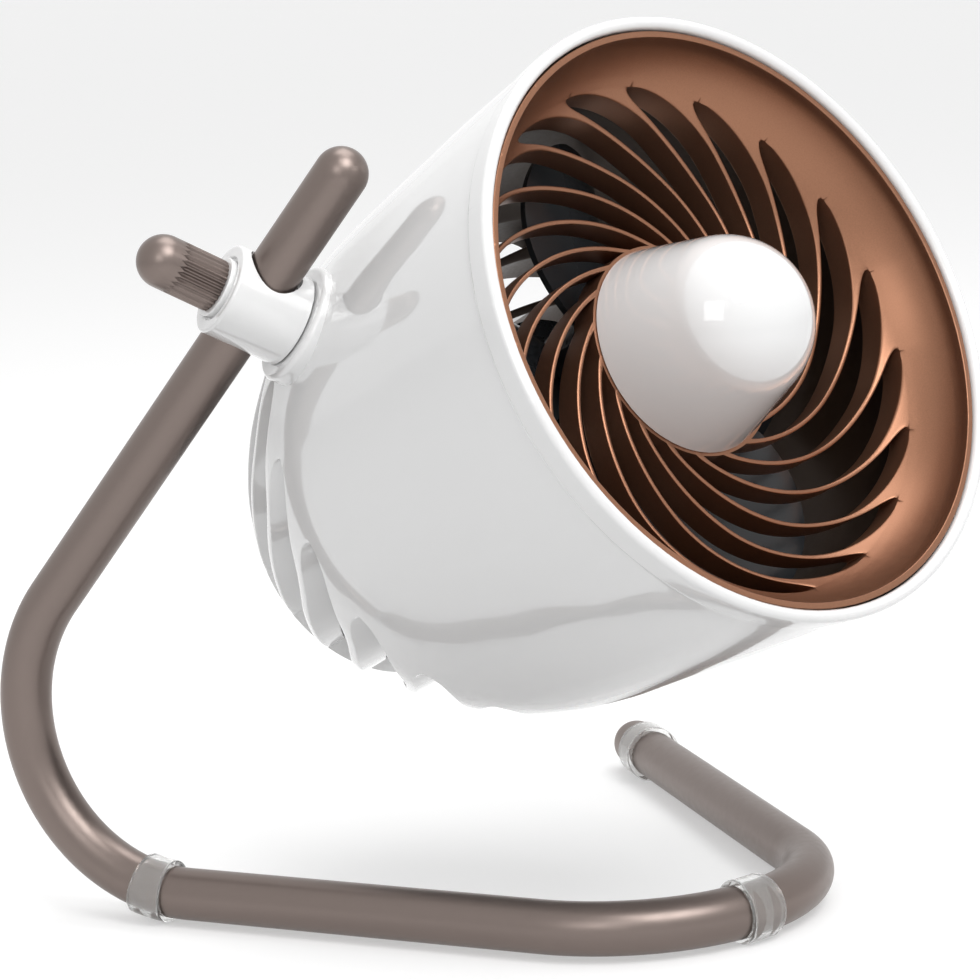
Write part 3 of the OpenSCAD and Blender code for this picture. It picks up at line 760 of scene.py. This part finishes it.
def head_shell():
    rib_rows = [(r, -outer_depth(r), r, -inner_depth(r)) for r in VENTS.radii()]
    hub_r = spaced(VENTS.inner_r, HUB_R, HUB_STEPS)
    hub_rows = [(r, -outer_depth(r), r, -inner_depth(r)) for r in hub_r]
    back = -SHELL_DEPTH
    hub_rows += [(BACK_OUTER_R, back, BACK_INNER_R, back + BACK_WALL),
                 (BACK_BORE_R, back, BACK_BORE_R, back + BACK_WALL)]
    verts, faces = ribbed(VENTS, shell_ring(), rib_rows, hub_rows, FIN_EDGE)
    obj = piece("head_shell_look", verts, faces, RIM, "head", WHITE, "head_shell")
    # Paints shade on the shell's inside, behind the grille
    paint_duct_shade(obj)
    boss()
    profile = [(POST_BORE_R, -POST_BORE_END), (POST_R, -POST_SIDE_END), (POST_R, -POST_FRONT),
               (POST_BORE_R, -POST_FRONT)]
    for i in range(3):
        verts, faces = lathe(profile, 32)
        spot = RIM @ rot("Z", CONTROL_TURN + 120 * i) @ move(POST_PLACE_R, 0, 0)
        piece("motor_post_%d" % (i + 1), verts, faces, spot, "head", WHITE, None)


def paint_duct_shade(obj):
    """Paints shade: a dark brown on the faces of the white shell that look at its axis, behind the grille,
    where its inside lies in shade.
    """
    obj.data.materials.append(DUCT_SHADE)
    to_rim = RIM.inverted()
    for face in obj.data.polygons:
        c = to_rim @ (face.center / MM)
        n = to_rim.to_3x3() @ face.normal
        if DUCT_SHADE_START < -c.z < DUCT_SHADE_END and n.x * c.x + n.y * c.y < 0:
            face.material_index = 1


def boss():
    face = REACH - BARREL_IN - SEAM_T
    profile = [(BOSS_BORE_R, face - BOSS_LEN), (BOSS_R, face - BOSS_LEN), (BOSS_R, face - BOSS_EDGE - 2.5)]
    profile += arc(BOSS_R - BOSS_EDGE, face - BOSS_EDGE, BOSS_EDGE, 0, 90)
    profile += [(BOSS_BORE_R, face)]
    verts, faces = lathe(profile)
    piece("head_boss", verts, faces, BOSS @ ALONG_X, "head", WHITE, None)


# Front grille

DISH_R = 26.2
DISH_DEPTH = 21.9
VANE_DEPTH = 7.0
VANE_EDGE = 0.4
LIP_OUT = 70.65
LIP_IN = 69.1
LIP_DEPTH = 3.0
LIP_ROUND = 0.2
FLANGE_T = 1.6
SKIRT_R = 70.5
SKIRT_MIDDLE = 6.0
SKIRT_DEPTH = 13.0
SKIRT_INNER_DEPTH = 12.2
DISH_EDGE_R = 68.6
DISH_RADII = (68.0, 67.2, 66.2, 65.0, 64.0)
GRILLE_SCREW_R = 1.6
DISH_Z = DISH_R - DISH_DEPTH
DISH_C = LIP_IN - math.sqrt(DISH_R ** 2 - (LIP_DEPTH + DISH_Z) ** 2)
NOSE_R = 20.5
NOSE_PROUD = 14.0
NOSE_FLARE = 15.5
NOSE_WALL = 2.0
NOSE_FOOT = 0.8
AXIS_R = 0.001
SMOOTH_SHARP = 50

VANES = Ribs(count=19, phase=3.2, arc_r=46.7, arc_off=26.7, rib_t=1.1, tip_r=63.0, inner_r=DISH_R,
             tip_turn=3.4, tip_len=3.0, bulge_len=8.0, hand=1)


def dish(r):
    """Height of the dish's front face at radius r."""
    return DISH_Z - math.sqrt(DISH_R ** 2 - max(0.0, r - DISH_C) ** 2)


def front_grille():
    front = [(LIP_OUT - LIP_ROUND, 0.0), (LIP_IN + 0.25, 0.0), (LIP_IN + 0.05, -0.12), (LIP_IN, -0.3),
             (LIP_IN, -FLANGE_T), (LIP_IN, -LIP_DEPTH)]
    front += [(r, dish(r)) for r in (DISH_EDGE_R, *DISH_RADII, VANES.tip_r)]
    back = [(LIP_OUT, -LIP_ROUND), (LIP_OUT, -FLANGE_T), (SKIRT_R, -FLANGE_T), (SKIRT_R, -SKIRT_MIDDLE),
            (SKIRT_R, -SKIRT_DEPTH), (LIP_IN, -SKIRT_DEPTH), (LIP_IN, -SKIRT_INNER_DEPTH)]
    back += [(r, dish(r) - VANE_DEPTH) for r in (*DISH_RADII, VANES.tip_r)]
    ring_rows = [(*a, *b) for a, b in zip(front, back)]
    rib_rows = [(r, dish(r), r, dish(r) - VANE_DEPTH) for r in VANES.radii()]
    hub_radii = (VANES.inner_r, 20.0, 10.0, GRILLE_SCREW_R)
    hub_rows = [(r, -DISH_DEPTH, r, -DISH_DEPTH - VANE_DEPTH) for r in hub_radii]
    verts, faces = ribbed(VANES, ring_rows, rib_rows, hub_rows, VANE_EDGE)
    piece("front_grille_look", verts, faces, RIM, "head", COPPER, "front_grille",
          SMOOTH_SHARP)


def nose_dome():
    centre = NOSE_PROUD - NOSE_R
    tangent_z = centre + NOSE_R * math.sin(math.radians(NOSE_FLARE))
    tangent_r = NOSE_R * math.cos(math.radians(NOSE_FLARE))
    slope = math.tan(math.radians(NOSE_FLARE))
    base_r = tangent_r + (tangent_z + DISH_DEPTH) * slope
    side = np.linspace(tangent_z - 2, -DISH_DEPTH + NOSE_FOOT, 6)
    profile = [(AXIS_R, NOSE_PROUD)] + arc(0, centre, NOSE_R, 88, NOSE_FLARE, 40)
    profile += [(tangent_r + (tangent_z - z) * slope, z) for z in side]
    profile += [(base_r - 0.1, -DISH_DEPTH + 0.25), (base_r - 0.35, -DISH_DEPTH)]
    profile += [(base_r - NOSE_WALL, -DISH_DEPTH), (tangent_r - NOSE_WALL, tangent_z)]
    profile += [(AXIS_R, NOSE_PROUD - NOSE_WALL)]
    verts, faces = lathe(profile, 128)
    piece("nose_dome_look", verts, faces, RIM, "head", WHITE, "nose_dome", SMOOTH_SHARP)


# Materials of the model's own pieces

PLAIN = {
    "stem_liner": WHITE, "pivot_spring_washer": STEEL, "pivot_retainer": STEEL, "pivot_screw": STEEL,
    "knob_stud": STEEL, "nose_screw": STEEL, "impeller": DARK, "impeller_nut": STEEL, "motor_shaft": STEEL,
    "rotor_core": STEEL, "motor_front_housing": STEEL, "motor_rear_housing": STEEL, "stator_core": STEEL,
    "stator_windings": WIRE, "front_bearing": STEEL, "rear_bearing": STEEL, "motor_bracket": STEEL,
    "motor_grommets": RUBBER, "motor_screws": STEEL, "rear_cap": WHITE, "rear_cap_screws": STEEL,
    "switch_body": DARK, "speed_button": WHITE, "cord_gland": RUBBER}


def plain_nodes():
    for name, mat in PLAIN.items():
        mesh = NODES[name].data
        mesh.materials.clear()
        mesh.materials.append(mat)


# Camera, floor and light: places here are in metres, but for the camera's

CAMERA_AT = Vector((-529.97, -571.90, 237.49))
CAMERA_RIGHT = Vector((0.77262, -0.63247, -0.05518))
CAMERA_BACK = Vector((-0.61802, -0.76916, 0.16262))
CAMERA_LENS = 127.06
LOOK_AT = Vector((0.0, 0.05, 0.1))
FLOOR_HALF = 40.0
FLOOR_Z = -0.0002
FLOOR_TONE = 0.6
FLOOR_LIFT = 0.42
AMBIENT_LOW = 0.5
AMBIENT_HIGH = 0.75
AMBIENT_TOP = 0.8


def camera():
    data = bpy.data.cameras.new("camera")
    data.lens = CAMERA_LENS
    data.sensor_width = 36
    data.sensor_fit = "HORIZONTAL"
    data.clip_start = 0.01
    data.clip_end = 200
    obj = bpy.data.objects.new("camera", data)
    place = axes(CAMERA_AT, CAMERA_RIGHT, CAMERA_BACK)
    place.translation *= MM
    obj.matrix_world = place
    bpy.context.scene.collection.objects.link(obj)
    bpy.context.scene.camera = obj


def shown(nt):
    """1 for the rays that see the background: camera, glossy and transmission."""
    path = nt.nodes.new("ShaderNodeLightPath")
    out = path.outputs["Is Camera Ray"]
    for other in ("Is Glossy Ray", "Is Transmission Ray"):
        most = nt.nodes.new("ShaderNodeMath")
        most.operation = "MAXIMUM"
        nt.links.new(out, most.inputs[0])
        nt.links.new(path.outputs[other], most.inputs[1])
        out = most.outputs[0]
    return out


def backdrop(name, tone, lift):
    """A diffuse floor, lifted to near white where the background is seen; it keeps the shadow."""
    m = bpy.data.materials.new(name)
    m.use_nodes = True
    nt = m.node_tree
    s = nt.nodes["Principled BSDF"]
    s.inputs["Base Color"].default_value = (tone, tone, tone, 1)
    s.inputs["Roughness"].default_value = 0.7
    s.inputs["Specular IOR Level"].default_value = 0.1
    s.inputs["Emission Color"].default_value = (1, 1, 1, 1)
    level = nt.nodes.new("ShaderNodeMapRange")
    level.inputs["To Min"].default_value = 0
    level.inputs["To Max"].default_value = lift
    nt.links.new(shown(nt), level.inputs["Value"])
    nt.links.new(level.outputs["Result"], s.inputs["Emission Strength"])
    return m


def floor():
    mesh = bpy.data.meshes.new("floor")
    corners = ((-1, -1), (1, -1), (1, 1), (-1, 1))
    mesh.from_pydata([(FLOOR_HALF * x, FLOOR_HALF * y, FLOOR_Z) for x, y in corners], [], [[0, 1, 2, 3]])
    mesh.materials.append(backdrop("pale floor", FLOOR_TONE, FLOOR_LIFT))
    obj = bpy.data.objects.new("floor", mesh)
    bpy.context.scene.collection.objects.link(obj)


def lamp(name, right, up, back, size, watts):
    """A soft lamp placed in the camera's directions from the object."""
    data = bpy.data.lights.new(name, "AREA")
    data.energy = watts
    data.size = size
    x = CAMERA_RIGHT.normalized()
    z = CAMERA_BACK.normalized()
    way = right * x + up * z.cross(x) + back * z
    obj = bpy.data.objects.new(name, data)
    obj.location = LOOK_AT + way
    obj.rotation_euler = (-way).to_track_quat("-Z", "Y").to_euler()
    bpy.context.scene.collection.objects.link(obj)


def world():
    """Soft light that is stronger from above, and white where the background is seen."""
    w = bpy.data.worlds.new("world")
    w.use_nodes = True
    nt = w.node_tree
    bg = nt.nodes["Background"]
    where = nt.nodes.new("ShaderNodeTexCoord")
    parts = nt.nodes.new("ShaderNodeSeparateXYZ")
    nt.links.new(where.outputs["Generated"], parts.inputs["Vector"])
    rise = nt.nodes.new("ShaderNodeMapRange")
    rise.inputs["From Min"].default_value = 0.0
    rise.inputs["From Max"].default_value = AMBIENT_TOP
    rise.inputs["To Min"].default_value = AMBIENT_LOW
    rise.inputs["To Max"].default_value = AMBIENT_HIGH
    nt.links.new(parts.outputs["Z"], rise.inputs["Value"])
    level = nt.nodes.new("ShaderNodeMix")
    level.inputs["B"].default_value = 1.0
    nt.links.new(rise.outputs["Result"], level.inputs["A"])
    nt.links.new(shown(nt), level.inputs["Factor"])
    bg.inputs["Color"].default_value = (1, 1, 1, 1)
    nt.links.new(level.outputs["Result"], bg.inputs["Strength"])
    bpy.context.scene.world = w


def lights():
    world()
    lamp("key", right=0.35, up=0.85, back=0.8, size=0.7, watts=9)
    lamp("top", right=0.1, up=1.2, back=-0.1, size=0.8, watts=6)
    lamp("front", right=-0.3, up=0.3, back=1.0, size=0.45, watts=1.5)


camera()
stand()
clamp()
knob()
head_shell()
front_grille()
nose_dome()
plain_nodes()
floor()
lights()

scene = bpy.context.scene
scene.view_settings.view_transform = "Standard"
